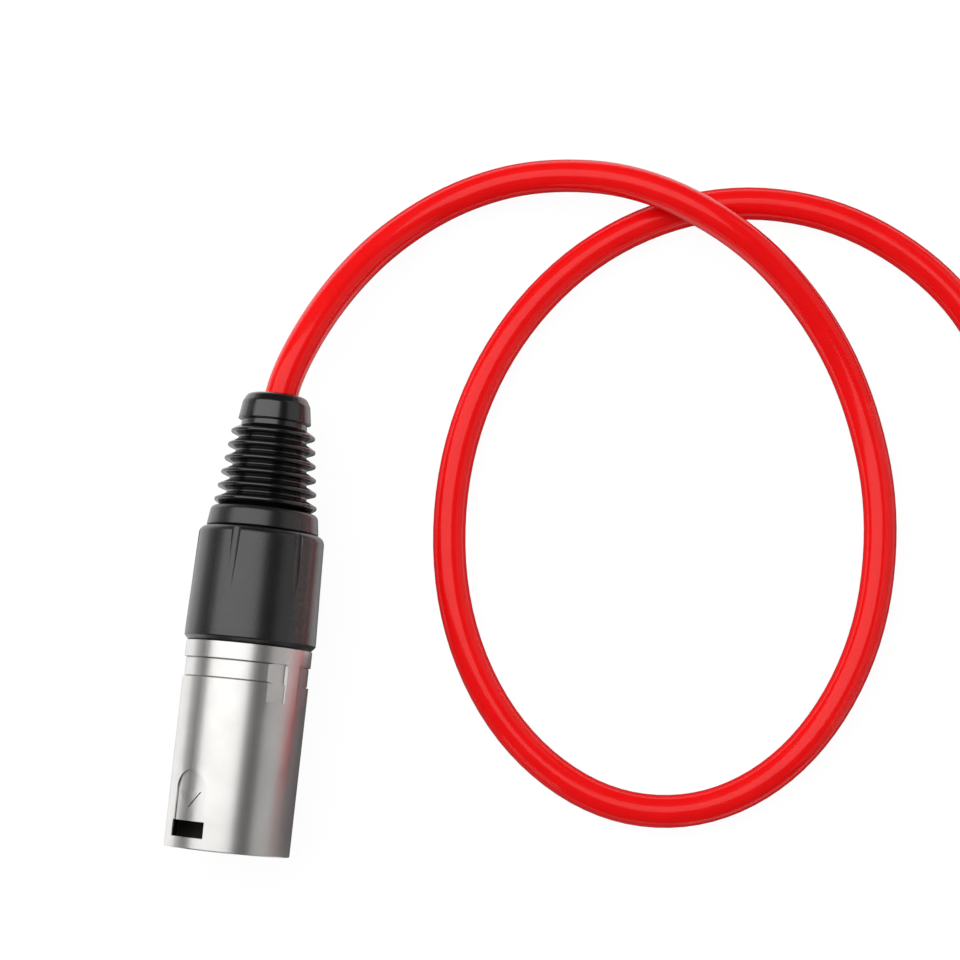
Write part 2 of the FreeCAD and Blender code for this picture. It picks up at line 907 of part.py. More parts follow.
def least_gap(wire, step):
    """The least distance between strands of the wire, less the cable's diameter."""
    points = []
    for edge in wire.Edges:
        count = max(2, int(edge.Length / step))
        points += edge.discretize(Number=count)[:-1]
    near = wire.Length
    skip = int(2 * coil_in_r / step)
    grid = {}
    for i, p in enumerate(points):
        cell = (int(p.x // cable_d), int(p.y // cable_d), int(p.z // cable_d))
        grid.setdefault(cell, []).append((i, p))
    around = [(x, y, z) for x in (-2, -1, 0, 1, 2) for y in (-2, -1, 0, 1, 2) for z in (-2, -1, 0, 1, 2)]
    for cell, here in grid.items():
        for shift in around:
            other = grid.get((cell[0] + shift[0], cell[1] + shift[1], cell[2] + shift[2]), [])
            for i, p in here:
                for j, q in other:
                    if j - i > skip:
                        near = min(near, p.distanceToPoint(q))
    return near - cable_d


def make_coil():
    wire = coil_wire()
    lead_in = V(lead_route[-1][0], lead_route[-1][1], lead_route[-1][2])
    solid = swept(wire, cable_r, lead_in, V(0, -1, 0))
    print("coil radii from", round(coil_in_r, 1), "to", round(coil_out_r, 1))
    print("coil length", round(wire.Length, 1), "least gap to itself", round(least_gap(wire, 1.5), 3))
    section = math.pi * cable_r**2 * wire.Length
    print("coil volume over section x length", round(solid.Volume / section, 4), solid.isValid())
    return solid, wire.Length


def make_tie():
    """A strap round the bundle on the coil's +Y side, with its loose end on the outside."""
    near = coil_in_r - cable_r
    near = math.sqrt(near**2 - (tie_width / 2) ** 2) - tie_gap
    far = coil_out_r + cable_r + tie_gap
    low = tie_thickness
    high = coil_top_z + cable_r + tie_gap
    t = tie_thickness

    def loop(y0, y1, z0, z1, radius):
        corners = [(y0, z0, radius), (y1, z0, radius), (y1, z1, radius), (y0, z1, radius)]
        face = Part.Face(rounded(corners))
        return face.extrude(V(0, tie_width, 0))

    outer = loop(near - t, far + t, low - t, high + t, tie_round)
    inner = loop(near, far, low, high, tie_round - t)
    strap = outer.cut(inner)
    end = high - tie_round
    tail = block(far + t, far + 2 * t, 0, tie_width, end - tie_tail_len, end)
    strap = strap.fuse(tail).removeSplitter()
    strap.rotate(V(0, 0, 0), V(0, 0, 1), 90)
    strap.translate(V(coil_x + tie_width / 2, coil_y, 0))
    return strap


# Placing and writing

male_turn = FreeCAD.Matrix(
    -math.sin(math.radians(shell_roll)), math.cos(math.radians(shell_roll)), 0, 0,
    0, 0, 1, male_rim_y,
    math.cos(math.radians(shell_roll)), math.sin(math.radians(shell_roll)), 0, axis_height,
    0, 0, 0, 1,
)
female_turn = FreeCAD.Matrix(
    0, -1, 0, female_x,
    0, 0, -1, female_rim_y,
    1, 0, 0, axis_height,
    0, 0, 0, 1,
)


def placed(shape, matrix):
    copy = shape.copy()
    copy.Placement = FreeCAD.Placement(matrix).multiply(copy.Placement)
    return copy


nodes = {}


def add_plug(name, matrix, end, cord_from, side, own):
    pieces = dict(own)
    pieces["chuck"] = make_chuck(end)
    pieces["nut"] = make_nut(end)
    pieces["coding_ring"] = make_coding_ring(end)
    pieces["boot"] = make_boot(end)
    pieces["cable_end"] = make_cable_end(end, cord_from)
    names = ("core_shield", "core_hot", "core_cold")
    for core, (x, y) in zip(names, contact_places(side)):
        pieces[core] = make_cores(end, side, x, y)
    pieces["earth_tab"] = make_earth_tab(insert_back(end), earth_tab_angle)
    for piece, shape in pieces.items():
        nodes[name + "_" + piece] = placed(shape, matrix)


male_own = {"shell": make_male_shell(), "insert": make_male_insert()}
for number, (x, y) in enumerate(contact_places(-1), 1):
    male_own["pin_" + str(number)] = make_pin(x, y)
add_plug("male", male_turn, male_body_len, cord_start, -1, male_own)

female_own = {
    "shell": make_female_shell(),
    "insert": make_female_insert(),
    "latch_lever": make_latch_lever(),
    "latch_pin": make_latch_pin(),
    "latch_spring": make_latch_spring(),
}
for number, (x, y) in enumerate(contact_places(1), 1):
    female_own["socket_" + str(number)] = make_socket(x, y)
add_plug("female", female_turn, female_body_len, female_rim_y - tail_route[-1][1], 1, female_own)

nodes["cable_lead"], lead_len = tube("lead", lead_route, cable_r)
nodes["cable_coil"], coil_len = make_coil()
nodes["cable_tail"], tail_len = tube("tail", tail_route, cable_r)
nodes["cable_tie"] = make_tie()
print("cable from boot to boot", round(lead_len + coil_len + tail_len, 1))

os.makedirs("parts", exist_ok=True)
for node, shape in nodes.items():
    solid = shape.Solids
    if len(solid) != 1 or not shape.isValid():
        print("look at", node, "solids", len(solid), "valid", shape.isValid())
    shape.exportStep("parts/" + node + ".step")
print(len(nodes), "nodes")
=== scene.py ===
import math

import bmesh
import bpy
from mathutils import Matrix, Vector


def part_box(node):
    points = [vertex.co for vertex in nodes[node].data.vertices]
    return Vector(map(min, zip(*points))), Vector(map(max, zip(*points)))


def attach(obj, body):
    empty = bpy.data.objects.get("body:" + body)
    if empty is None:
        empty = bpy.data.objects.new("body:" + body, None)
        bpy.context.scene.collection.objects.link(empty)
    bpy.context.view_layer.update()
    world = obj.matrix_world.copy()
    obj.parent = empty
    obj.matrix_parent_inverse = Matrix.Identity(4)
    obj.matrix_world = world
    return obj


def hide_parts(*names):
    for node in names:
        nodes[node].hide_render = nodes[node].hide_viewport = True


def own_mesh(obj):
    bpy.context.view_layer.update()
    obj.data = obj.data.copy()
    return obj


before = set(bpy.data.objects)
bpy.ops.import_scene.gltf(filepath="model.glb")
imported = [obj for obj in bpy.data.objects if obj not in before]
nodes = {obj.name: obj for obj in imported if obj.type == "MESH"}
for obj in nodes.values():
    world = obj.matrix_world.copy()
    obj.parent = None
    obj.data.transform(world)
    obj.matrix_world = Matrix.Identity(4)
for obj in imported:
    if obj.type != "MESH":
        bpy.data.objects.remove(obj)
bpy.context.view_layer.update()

# %% [markdown]
# # A red microphone cable with its two plugs
# The plugs, their inner pieces and the lead come from the imported CAD model, in metres, and
# everything rests on the plane z = 0. The male plug lies along +Y with its open end towards
# -Y. This lesson dresses that model: first the camera and the lead, then the strap and the
# small mouldings that the CAD leaves out, then the light, and one finish at a time.

# %% Millimetres
mm = 0.001

# %% [markdown]
# ## The camera
# The photograph was taken from almost straight above: the camera looks down, tilted a little
# towards +Y and rolled a little, so that the plug leans. It stands about 0.4 m away, which
# gives the slight widening of what lies higher. A tilt about X and a roll about the camera's
# own axis say this more plainly than a look-at point would.

# %% Camera
camera_place = Vector((0.03163, -0.019928, 0.404041))
camera_tilt = math.radians(6.451)
camera_roll = math.radians(5.885)
camera_data = bpy.data.cameras.new("camera")
camera_data.sensor_width = 36.0
camera_data.lens = 99.0
camera_data.clip_start = 0.01
camera = bpy.data.objects.new("camera", camera_data)
camera.matrix_world = (
    Matrix.Translation(camera_place)
    @ Matrix.Rotation(camera_tilt, 4, "X")
    @ Matrix.Rotation(camera_roll, 4, "Z")
)
bpy.context.scene.collection.objects.link(camera)
bpy.context.scene.camera = camera
print("camera", tuple(round(v, 4) for v in camera_place), "lens", camera_data.lens)

# %% [markdown]
# ## The lead
# The lead is one flexible cable of about 3 m. A mesh tube would need its own rings; a NURBS
# curve with a round bevel is shorter to write and bends as a cable does. Its control points
# are the corners of the CAD route: the loop that the photograph shows, then the put-away coil
# of 13 and a quarter turns in four layers, then the short run into the female plug.

# %% Lead: control points of the loop, in millimetres
cable_d = 5.0
axis_height = 9.8
lead_points = [
    (0.0, 24.225, 9.8), (0.0, 32.9, 9.8), (2.1, 41.1, 9.4), (7.0, 51.7, 6.9),
    (13.9, 61.3, 3.6), (24.0, 69.4, 2.5), (36.2, 73.7, 4.2), (51.6, 73.3, 8.3),
    (67.7, 66.8, 8.3), (79.9, 57.0, 4.4), (88.5, 44.1, 2.5), (93.9, 26.4, 2.5),
    (93.1, 6.0, 2.5), (84.6, -11.7, 2.5), (70.7, -21.7, 2.5), (54.2, -22.1, 2.5),
    (38.8, -12.2, 2.5), (28.9, 5.4, 2.5), (26.8, 27.1, 2.5), (32.5, 47.4, 2.5),
    (45.1, 63.6, 2.5), (62.8, 72.8, 2.5), (82.1, 73.0, 2.5), (99.4, 64.6, 2.5),
    (109.5, 51.9, 2.5), (114.0, 36.9, 2.9), (115.0, 23.4, 3.5), (115.0, 13.9, 3.5),
]
tail_points = [
    (159.109, -30.209, 20.0), (170.0, -30.209, 20.0), (186.0, -28.6, 15.0), (200.0, -21.1, 8.5),
    (209.0, -8.6, 7.5), (212.0, 4.9, 9.8), (212.0, 15.9, 9.8),
]
print(len(lead_points), "points in the loop,", len(tail_points), "in the tail")

# %% Lead: control points of the coil's turns
coil_turns = 13.25
coil_layers = 4
coil_pitch = 5.5
layer_pitch = 5.5
coil_mean_r = 30.0
per_layer = coil_turns / coil_layers
coil_out_r = coil_mean_r + per_layer * coil_pitch / 2
coil_in_r = coil_mean_r - per_layer * coil_pitch / 2
coil_start = Vector((115.0, 8.9, 3.5))
coil_middle = Vector((coil_start.x + coil_out_r, coil_start.y, 0))
points_per_turn = 16
climb_turns = 0.5


def layer_height(turn):
    """How many layers up the strand is after so many turns: it climbs over half a turn."""
    height = 0.0
    for i in range(1, coil_layers):
        share = min(max((turn - i * per_layer) / climb_turns + 0.5, 0.0), 1.0)
        height += share * share * (3 - 2 * share)
    return height


def coil_point(turn):
    """A corner just outside the turns, so that the curve between the corners lies on them."""
    leg = min(int(turn / per_layer), coil_layers - 1)
    along = turn - leg * per_layer
    radius = coil_out_r - coil_pitch * along if leg % 2 == 0 else coil_in_r + coil_pitch * along
    reach = radius / math.cos(math.pi / points_per_turn)
    angle = math.pi + 2 * math.pi * turn
    height = coil_start.z + layer_height(turn) * layer_pitch
    return (coil_middle.x + reach * math.cos(angle), coil_middle.y + reach * math.sin(angle), height)


coil_points = [
    coil_point((i + 0.5) / points_per_turn) for i in range(int(coil_turns * points_per_turn))
]
print(len(coil_points), "points in the coil, radii", round(coil_in_r, 1), "to", round(coil_out_r, 1))

# %% [markdown]
# A curve's box counts each point's radius, so the radius is the cable's own and the bevel
# depth is 1, which multiplies it. The degree and the clamped ends are set after the points
# are there, because an empty spline doesn't keep them.

# %% Lead: one NURBS curve
lead_data = bpy.data.curves.new("cable", "CURVE")
lead_data.dimensions = "3D"
lead_data.bevel_depth = 1.0
lead_data.bevel_resolution = 8
lead_data.resolution_u = 8
lead_data.use_fill_caps = True
spline = lead_data.splines.new("NURBS")
route = lead_points + coil_points + tail_points
spline.points.add(len(route) - 1)
for point, place in zip(spline.points, route):
    point.co = (*(Vector(place) * mm), 1.0)
    point.radius = cable_d / 2 * mm
spline.order_u = 3
spline.use_endpoint_u = True
spline.use_smooth = True
spline.resolution_u = 8
cable = bpy.data.objects.new("cable", lead_data)
bpy.context.scene.collection.objects.link(cable)
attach(cable, "root")
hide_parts("cable_lead", "cable_coil", "cable_tail")
print("lead length", round(spline.calc_length(), 4), "m")

# %% [markdown]
# ## The strap
# A hook-and-loop strap holds the coil together, as on most cables that are put away. It is a
# flat tape, so it is drawn as a tape: its path is pulled out of one edge, the corners are
# bevelled round, and a Solidify modifier gives the thickness. It goes round the turns once
# and lies on itself on the outside, where its end stands off a little.

# %% A mesh object from a bmesh
def link_mesh(name, build):
    """An object from a bmesh, at the origin."""
    data = bpy.data.meshes.new(name)
    build.to_mesh(data)
    build.free()
    piece = bpy.data.objects.new(name, data)
    bpy.context.scene.collection.objects.link(piece)
    return piece


# %% Strap: its path from end to end, in millimetres
tie_width = 12.0
tie_thickness = 0.8
start_above_low = 5.5
lap_below_high = 8.5
end_below_high = 5.2
end_lift = 0.25
strap_low, strap_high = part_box("cable_tie")
strap_x = (strap_low.x + strap_high.x) / 2 / mm
near_y = strap_low.y / mm + tie_thickness / 2
far_y = strap_high.y / mm - tie_thickness * 1.5
low_z = strap_low.z / mm + tie_thickness / 2
high_z = strap_high.z / mm - tie_thickness / 2
lap_y = far_y + tie_thickness
strap_path = [
    (far_y, low_z + start_above_low), (far_y, high_z), (near_y, high_z), (near_y, low_z),
    (lap_y, low_z), (lap_y, high_z - lap_below_high), (lap_y + end_lift, high_z - end_below_high),
]
print("strap", round(far_y - near_y, 1), "by", round(high_z - low_z, 1), "mm round the turns")

# %% Strap: the path becomes a tape
tie_round = 5.0
corner_reach = 1.0


def is_across(edge):
    """Whether an edge runs from one side of the tape to the other."""
    return abs(edge.verts[0].co.x - edge.verts[1].co.x) > tie_width / 2


build = bmesh.new()
corners = [build.verts.new((strap_x - tie_width / 2, y, z)) for y, z in strap_path]
for first, last in zip(corners, corners[1:]):
    build.edges.new((first, last))
pulled = bmesh.ops.extrude_edge_only(build, edges=build.edges[:])
moved = [v for v in pulled["geom"] if isinstance(v, bmesh.types.BMVert)]
bmesh.ops.translate(build, vec=(tie_width, 0, 0), verts=moved)
folds = [e for e in build.edges if is_across(e) and len(e.link_faces) == 2]
turns = [
    e for e in folds if not low_z + corner_reach < e.verts[0].co.z < high_z - corner_reach
]
bmesh.ops.bevel(
    build, geom=turns, offset=tie_round, segments=8, profile=0.5, affect="EDGES", material=-1
)
bmesh.ops.subdivide_edges(build, edges=[e for e in build.edges if is_across(e)], cuts=7)
bmesh.ops.recalc_face_normals(build, faces=build.faces[:])
bmesh.ops.scale(build, vec=(mm, mm, mm), verts=build.verts[:])
for face in build.faces:
    face.smooth = True
strap = link_mesh("strap", build)
print(len(turns), "corners of the tape made round")

# %% Strap: its thickness
tie_edge_round = 0.25
wall = strap.modifiers.new("thickness", "SOLIDIFY")
wall.thickness = tie_thickness * mm
wall.offset = 0.0
edge = strap.modifiers.new("edge", "BEVEL")
edge.width = tie_edge_round * mm
edge.segments = 3
edge.limit_method = "ANGLE"
edge.angle_limit = math.radians(50)
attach(strap, "root")
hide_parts("cable_tie")
print("tape", tie_width, "mm wide and", tie_thickness, "mm thick")

# %% [markdown]
# ## The contact numbers
# Plugs of this kind have the contacts' numbers moulded beside them. They are generic, and
# small enough to be text: a font curve is extruded, made a mesh, and then moved to its place,
# so that the object itself stays at the origin. The male plug is rolled about its own axis,
# and its numbers roll with it.

# %% Numbers beside the contacts
number_height = 1.2
font_per_height = 1.4
number_relief = 0.12
number_edge = 0.02
number_circle_r = 6.15


def numbers(name, mesh_matrix, angles):
    """The figures 1 to 3 on a circle. mesh_matrix puts the plug's own axes in the world."""
    build = bmesh.new()
    for figure, angle in enumerate(angles, 1):
        text = bpy.data.curves.new(name + str(figure), "FONT")
        text.body = str(figure)
        text.size = number_height * font_per_height
        text.extrude = number_relief
        text.bevel_depth = number_edge
        text.align_x = "CENTER"
        text.align_y = "CENTER"
        holder = bpy.data.objects.new(name + str(figure), text)
        raised = bpy.data.meshes.new_from_object(holder)
        turn = math.radians(angle)
        place = Vector((math.sin(turn), math.cos(turn), 0)) * number_circle_r
        raised.transform(mesh_matrix @ Matrix.Translation(place))
        build.from_mesh(raised)
        bpy.data.objects.remove(holder)
        bpy.data.curves.remove(text)
        bpy.data.meshes.remove(raised)
    piece = link_mesh(name, build)
    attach(piece, "root")
    return piece


# %% Numbers of both plugs
contact_angle = 70.0
opposite = 180.0
shell_roll = math.radians(38.6)
female_x = 212.0
male_face_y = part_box("male_insert")[0].y
female_face_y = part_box("female_insert")[1].y
stand_up = Matrix.Rotation(math.radians(90), 4, "X")
scale = Matrix.Scale(mm, 4)
male_face = (
    Matrix.Translation((0, male_face_y, axis_height * mm))
    @ Matrix.Rotation(-shell_roll, 4, "Y")
    @ stand_up
    @ scale
)
female_face = (
    Matrix.Translation((female_x * mm, female_face_y, axis_height * mm))
    @ Matrix.Rotation(math.radians(180), 4, "Z")
    @ stand_up
    @ scale
)
male_numbers = numbers("male_numbers", male_face, (-contact_angle, contact_angle, opposite))
female_numbers = numbers("female_numbers", female_face, (contact_angle, -contact_angle, opposite))
print("numbers at y", round(male_face_y, 4), "and", round(female_face_y, 4))

# %% [markdown]
# ## The latch's grip
# The thumb pad of the female plug's latch has low ribs that stop the thumb from sliding. Each
# is a box with its edges rounded, half sunk in the pad, and they move with the latch. The pad
# is dished, so the middle ribs lie a little lower than the outer ones.

# %% Grip ribs on the latch pad
grip_ribs = 5
grip_pitch = 1.35
grip_width = 3.8
grip_rib = 0.45
grip_relief = 0.18
grip_round = 0.12
pad_dip = 0.35
pad_half = 4.0
female_rim_y = 76.0
pad_behind_rim = 21.5
pad_middle_y = female_rim_y - pad_behind_rim
pad_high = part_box("female_latch_lever")[1]
build = bmesh.new()
for i in range(grip_ribs):
    shift = (i - grip_ribs // 2) * grip_pitch
    top = pad_high.z / mm - pad_dip * (1 - abs(shift) / pad_half) + grip_relief
    body = bmesh.ops.create_cube(build, size=1.0)["verts"]
    bmesh.ops.scale(build, vec=(grip_width, grip_rib, 2 * grip_relief), verts=body)
    bmesh.ops.translate(
        build, vec=(female_x, pad_middle_y + shift, top - grip_relief), verts=body
    )
bmesh.ops.bevel(
    build, geom=build.edges[:], offset=grip_round, segments=3, profile=0.5, affect="EDGES",
    material=-1,
)
bmesh.ops.scale(build, vec=(mm, mm, mm), verts=build.verts[:])
for face in build.faces:
    face.smooth = True
grip = link_mesh("latch_grip", build)
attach(grip, "latch")
print(grip_ribs, "grip ribs on the pad at z", round(pad_high.z, 4))

# %% [markdown]
# ## The latch's spring
# A small coil spring under the thumb pad pushes the latch up. Pressing the latch shortens it, which
# a rigid piece can't show, so a merged copy of its mesh takes its place and gets a mesh of its own.

# %% Spring under the latch
weld_reach = 0.001
spring_node = nodes["female_latch_spring"]
build = bmesh.new()
build.from_mesh(spring_node.data)
bmesh.ops.remove_doubles(build, verts=build.verts[:], dist=weld_reach * mm)
for face in build.faces:
    face.smooth = True
coil_spring = link_mesh("latch_spring", build)
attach(coil_spring, "root")
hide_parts("female_latch_spring")
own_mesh(coil_spring)

# %% [markdown]
# ## What hangs on the lead
# The lead carries the strap, and the far plug with all its pieces.

# %% [markdown]
# ## The stage
# The photograph's background is pure white. The floor is a large pale sheet: seen by the camera it
# is mostly white by itself, and the rest of it is plain diffuse paper, which keeps a soft shadow
# under the object. A reflection sees the paper with painted light and shade, told by how far its ray
# runs: a painted shadow where a piece nearly touches the floor, painted light brighter than the
# paper a centimetre or two away, and a painted dimming beyond that, as on a table in a dim studio.
# Light Path tells these rays apart.

# %% Nodes by a short call
def add(tree, kind, inputs=None, **settings):
    """A node of this kind. inputs gives a value, or a socket to link, for each input."""
    node = tree.nodes.new("ShaderNode" + kind)
    for name, value in settings.items():
        setattr(node, name, value)
    for name, value in (inputs or {}).items():
        if isinstance(value, bpy.types.NodeSocket):
            tree.links.new(value, node.inputs[name])
        else:
            node.inputs[name].default_value = value
    return node


def times(tree, first, second):
    """The product of two values, each a number or a socket."""
    return add(tree, "Math", {0: first, 1: second}, operation="MULTIPLY").outputs[0]


def empty_tree(name):
    """A new material with nothing in its node tree."""
    material = bpy.data.materials.new(name)
    material.use_nodes = True
    material.node_tree.nodes.clear()
    return material, material.node_tree


# %% Floor: how white a reflection sees the paper
touch_reach = (0.006, 0.016)
touch_levels = (0.12, 1.3)
studio_reach = (0.036, 0.062)
studio_levels = (1.0, 0.35)
floor_material, tree = empty_tree("white_paper")
path = add(tree, "LightPath")


def by_distance(reach, levels):
    """A soft step from one level to another, between two lengths of a ray in metres."""
    return add(tree, "MapRange", {
        "Value": path.outputs["Ray Length"], "From Min": reach[0], "From Max": reach[1],
        "To Min": levels[0], "To Max": levels[1],
    }, interpolation_type="SMOOTHSTEP").outputs[0]


# Painted shadow right under a piece, painted light a little further off, and painted dimming far
# off, in what reflections see of the floor.
clear = by_distance(touch_reach, touch_levels)
far = by_distance(studio_reach, studio_levels)
mirrored = add(tree, "Math", {
    0: path.outputs["Is Glossy Ray"], 1: path.outputs["Is Transmission Ray"],
}, operation="MAXIMUM")
whiteness = add(tree, "Mix", {
    "Factor": mirrored.outputs[0], "A": 1.0, "B": times(tree, clear, far),
})
print("reflections see the floor's full white from", touch_reach[1], "to", studio_reach[0], "m")

# %% Floor: the sheet of paper
floor_half = 8.0
paper_white = 0.93
glow_share = 0.93
glow_strength = 1.02
build = bmesh.new()
bmesh.ops.create_grid(build, x_segments=1, y_segments=1, size=floor_half)
floor = link_mesh("floor", build)
paper = add(tree, "BsdfDiffuse", {"Color": times(tree, whiteness.outputs[0], paper_white)})
glow = add(tree, "Emission", {"Strength": glow_strength})
mix = add(tree, "MixShader", {
    0: times(tree, path.outputs["Is Camera Ray"], glow_share),
    1: paper.outputs[0], 2: glow.outputs[0],
})
add(tree, "OutputMaterial", {"Surface": mix.outputs[0]})
floor.data.materials.append(floor_material)
print("floor", 2 * floor_half, "m wide")

# %% [markdown]
# Cards beside a bright round part are a photographer's way to draw its edges. Three of them
# stand or lie round the plug, and only reflections see them. A dark one on the floor to the
# right gives the shell its dark edge. A white one stands before the coil, so that the nut and
# the upper shell don't mirror the red turns. A small white one stands in front of the open
# end and keeps its rounded lip bright.

# %% Cards
dark_board = (0.19, 0.18, 0.185)
white_board = (0.93, 0.93, 0.93)


def card(name, corners, colour):
    """A flat card through a few corners, in millimetres, that only reflections see."""
    build = bmesh.new()
    build.faces.new([build.verts.new(Vector(corner) * mm) for corner in corners])
    sheet = link_mesh(name, build)
    sheet.visible_camera = False
    sheet.visible_diffuse = False
    sheet.visible_shadow = False
    material, tree = empty_tree(name)
    board = add(tree, "BsdfDiffuse", {"Color": (*colour, 1)})
    add(tree, "OutputMaterial", {"Surface": board.outputs[0]})
    sheet.data.materials.append(material)
    print(name, "with", len(corners), "corners")


card("black_card", [
    (10, -42, 0.3), (75, -42, 0.3), (60, -18, 0.3), (29, -3, 0.3), (10, -3, 0.3),
], dark_board)
card("white_card", [(104, -14, 0), (104, 50, 0), (104, 50, 26), (104, -14, 26)], white_board)
card("lip_card", [(-30, -80, 0), (20, -80, 0), (20, -80, 40), (-30, -80, 40)], white_board)

# %% [markdown]
# ## The light
# Metal and glossy plastic show the lights themselves. On the round shell the photograph has a
# wide bright stripe with a dark line on each side: so one wide soft box hangs over the left
# side, a dimmer one stands low on the right, and the studio between them is nearly dark to a
# reflection. A lamp's matrix is built from the direction in which it stands, so that its sides
# stay along and across the plug. A fill lamp that no reflection shows lights the matt colours
# only.

# %% Lamps
def soft_box(name, left, behind, distance, across, along, strength):
    """A rectangular lamp over the plug. All but distance and strength are in degrees."""
    tilt = math.radians(behind)
    side = math.radians(left)
    out = Vector((-math.sin(side) * math.cos(tilt), math.sin(tilt), math.cos(side) * math.cos(tilt)))
    lengthwise = (Vector((0, 1, 0)) - out * out.y).normalized()
    crosswise = lengthwise.cross(out)
    data = bpy.data.lights.new(name, "AREA")
    data.shape = "RECTANGLE"
    data.size = 2 * distance * math.tan(math.radians(across / 2))
    data.size_y = 2 * distance * math.tan(math.radians(along / 2))
    data.energy = math.pi * strength * data.size * data.size_y
    lamp = bpy.data.objects.new(name, data)
    turn = Matrix((crosswise, lengthwise, out)).transposed().to_4x4()
    lamp.matrix_world = Matrix.Translation(out * distance) @ turn
    bpy.context.scene.collection.objects.link(lamp)
    print("lamp", name, round(data.size, 2), "by", round(data.size_y, 2), "m")
    return lamp


soft_box("wide_left", left=28.5, behind=14, distance=0.75, across=81, along=46, strength=1.9)
soft_box("low_right", left=-66, behind=10, distance=0.80, across=43, along=80, strength=0.5)
fill = soft_box("fill", left=25, behind=25, distance=1.5, across=60, along=60, strength=0.9)
fill.visible_glossy = False

# %% The studio round the table
studio_light = 0.38
mirrored_studio = 0.09
world = bpy.data.worlds.new("studio")
bpy.context.scene.world = world
world.use_nodes = True
sky = world.node_tree
sky.nodes.clear()
path = add(sky, "LightPath")
level = add(sky, "MapRange", {
    "Value": path.outputs["Is Glossy Ray"], "To Min": studio_light, "To Max": mirrored_studio,
})
dim = add(sky, "Background", {"Color": (1.0, 1.0, 1.0, 1), "Strength": level.outputs[0]})
add(sky, "OutputWorld", {"Surface": dim.outputs[0]})
bpy.context.scene.view_settings.view_transform = "Standard"
print("studio at", studio_light, "and", mirrored_studio, "in reflections")

# %% [markdown]
# ## Finishes
# Every finish is a Principled shader with fine detail from noise on Object coordinates, in
# metres: mottling in the colour, grain in the roughness and in a bump. The helpers below make
# those three, and each finish then differs in its colour, its gloss and the size of its grain.

# %% Helpers for grain
noise_low = 0.3
noise_high = 0.7


def noise(tree, size, detail=2.0):
    """Noise whose lumps are about size across, in metres."""
    place = add(tree, "TexCoord")
    return add(tree, "TexNoise", {
        "Vector": place.outputs["Object"], "Scale": 1 / size, "Detail": detail,
    })


def between(tree, value, low, high):
    """Noise brought between two levels, clipped where it is rarest."""
    return add(tree, "MapRange", {
        "Value": value, "From Min": noise_low, "From Max": noise_high, "To Min": low, "To Max": high,
    }).outputs[0]


def mottled(tree, value, dark, light):
    """Noise turned into colours between a dark and a light one."""
    ramp = add(tree, "ValToRGB", {"Fac": value})
    ramp.color_ramp.elements[0].position = noise_low
    ramp.color_ramp.elements[0].color = (*dark, 1)
    ramp.color_ramp.elements[1].position = noise_high
    ramp.color_ramp.elements[1].color = (*light, 1)
    return ramp.outputs["Color"]


# %% A finish for a slot
mottle_size = 0.004
finishes = {}


def finish(slot_name, dark, light, roughness, grain, relief, **sockets):
    """A finish for one of the record's slots. grain and relief are in metres."""
    material, tree = empty_tree(slot_name + "_finish")
    clouds = noise(tree, mottle_size)
    fine = noise(tree, grain)
    bump = add(tree, "Bump", {"Height": fine.outputs[0], "Distance": relief, "Strength": 1.0})
    shader = add(tree, "BsdfPrincipled", {
        "Base Color": mottled(tree, clouds.outputs[0], dark, light),
        "Roughness": between(tree, fine.outputs[0], *roughness),
        "Normal": bump.outputs[0],
        **{name.replace("_", " "): value for name, value in sockets.items()},
    })
    add(tree, "OutputMaterial", {"Surface": shader.outputs[0]})
    finishes[slot_name] = material
    print(slot_name, "has its finish")


# %% [markdown]
# ### Satin nickel
# The shells and the latch are die-cast and plated with satin nickel. It is metal through and
# through for the shader, with a fine sandy grain. Thumbs polish the latch, so it is a
# little smoother.

# %% Nickel
finish(
    "nickel_shell", (0.61, 0.60, 0.585), (0.66, 0.65, 0.635), roughness=(0.29, 0.34),
    grain=0.00015, relief=0.0000008, Metallic=1.0,
)
finish(
    "nickel_latch", (0.60, 0.59, 0.575), (0.66, 0.65, 0.635), roughness=(0.22, 0.29),
    grain=0.00015, relief=0.000001, Metallic=1.0,
)

# %% [markdown]
# The inside of the male sleeve gets painted shade, and the cut walls of its latch window a darker
# painted shade still: the photograph shows the window as near black. Both have the shell's material,
# so masks tell them by place: by the distance from the male plug's axis, and along Y by the distance
# from the rim. The female shell lies far from that axis and keeps its nickel.

# %% Nickel: masks by place
def mask(tree, value, start, end, falling=False):
    """0 before start and 1 past end, in metres, or 1 and then 0 where it is falling."""
    levels = {"To Min": 1.0, "To Max": 0.0} if falling else {}
    return add(tree, "MapRange", {
        "Value": value, "From Min": start, "From Max": end, **levels,
    }).outputs[0]


def darkened(tree, where, colour):
    """The base colour gives way to a painted shade colour where the mask is 1."""
    shader = tree.nodes["Principled BSDF"]
    mix = add(tree, "Mix", {"Factor": where, "B": (*colour, 1)}, data_type="RGBA")
    tree.links.new(shader.inputs["Base Color"].links[0].from_socket, mix.inputs["A"])
    tree.links.new(mix.outputs["Result"], shader.inputs["Base Color"])


# %% Nickel: painted shade inside the sleeve
painted_shade_inside = (0.09, 0.088, 0.086)
inside_end = (8.3 * mm, 8.5 * mm)
tree = finishes["nickel_shell"].node_tree
place = add(tree, "TexCoord")
centred = add(tree, "VectorMath", {
    0: place.outputs["Object"], 1: (0.0, 0.0, -axis_height * mm),
}, operation="ADD")
flat = add(tree, "VectorMath", {0: centred.outputs[0], 1: (1.0, 0.0, 1.0)}, operation="MULTIPLY")
from_axis = add(tree, "VectorMath", {0: flat.outputs[0]}, operation="LENGTH").outputs["Value"]
# The bore's inner surface gets painted shade in place of the nickel's colour.
darkened(tree, mask(tree, from_axis, *inside_end, falling=True), painted_shade_inside)
print("sleeve dark inside a radius of", inside_end[0], "m")
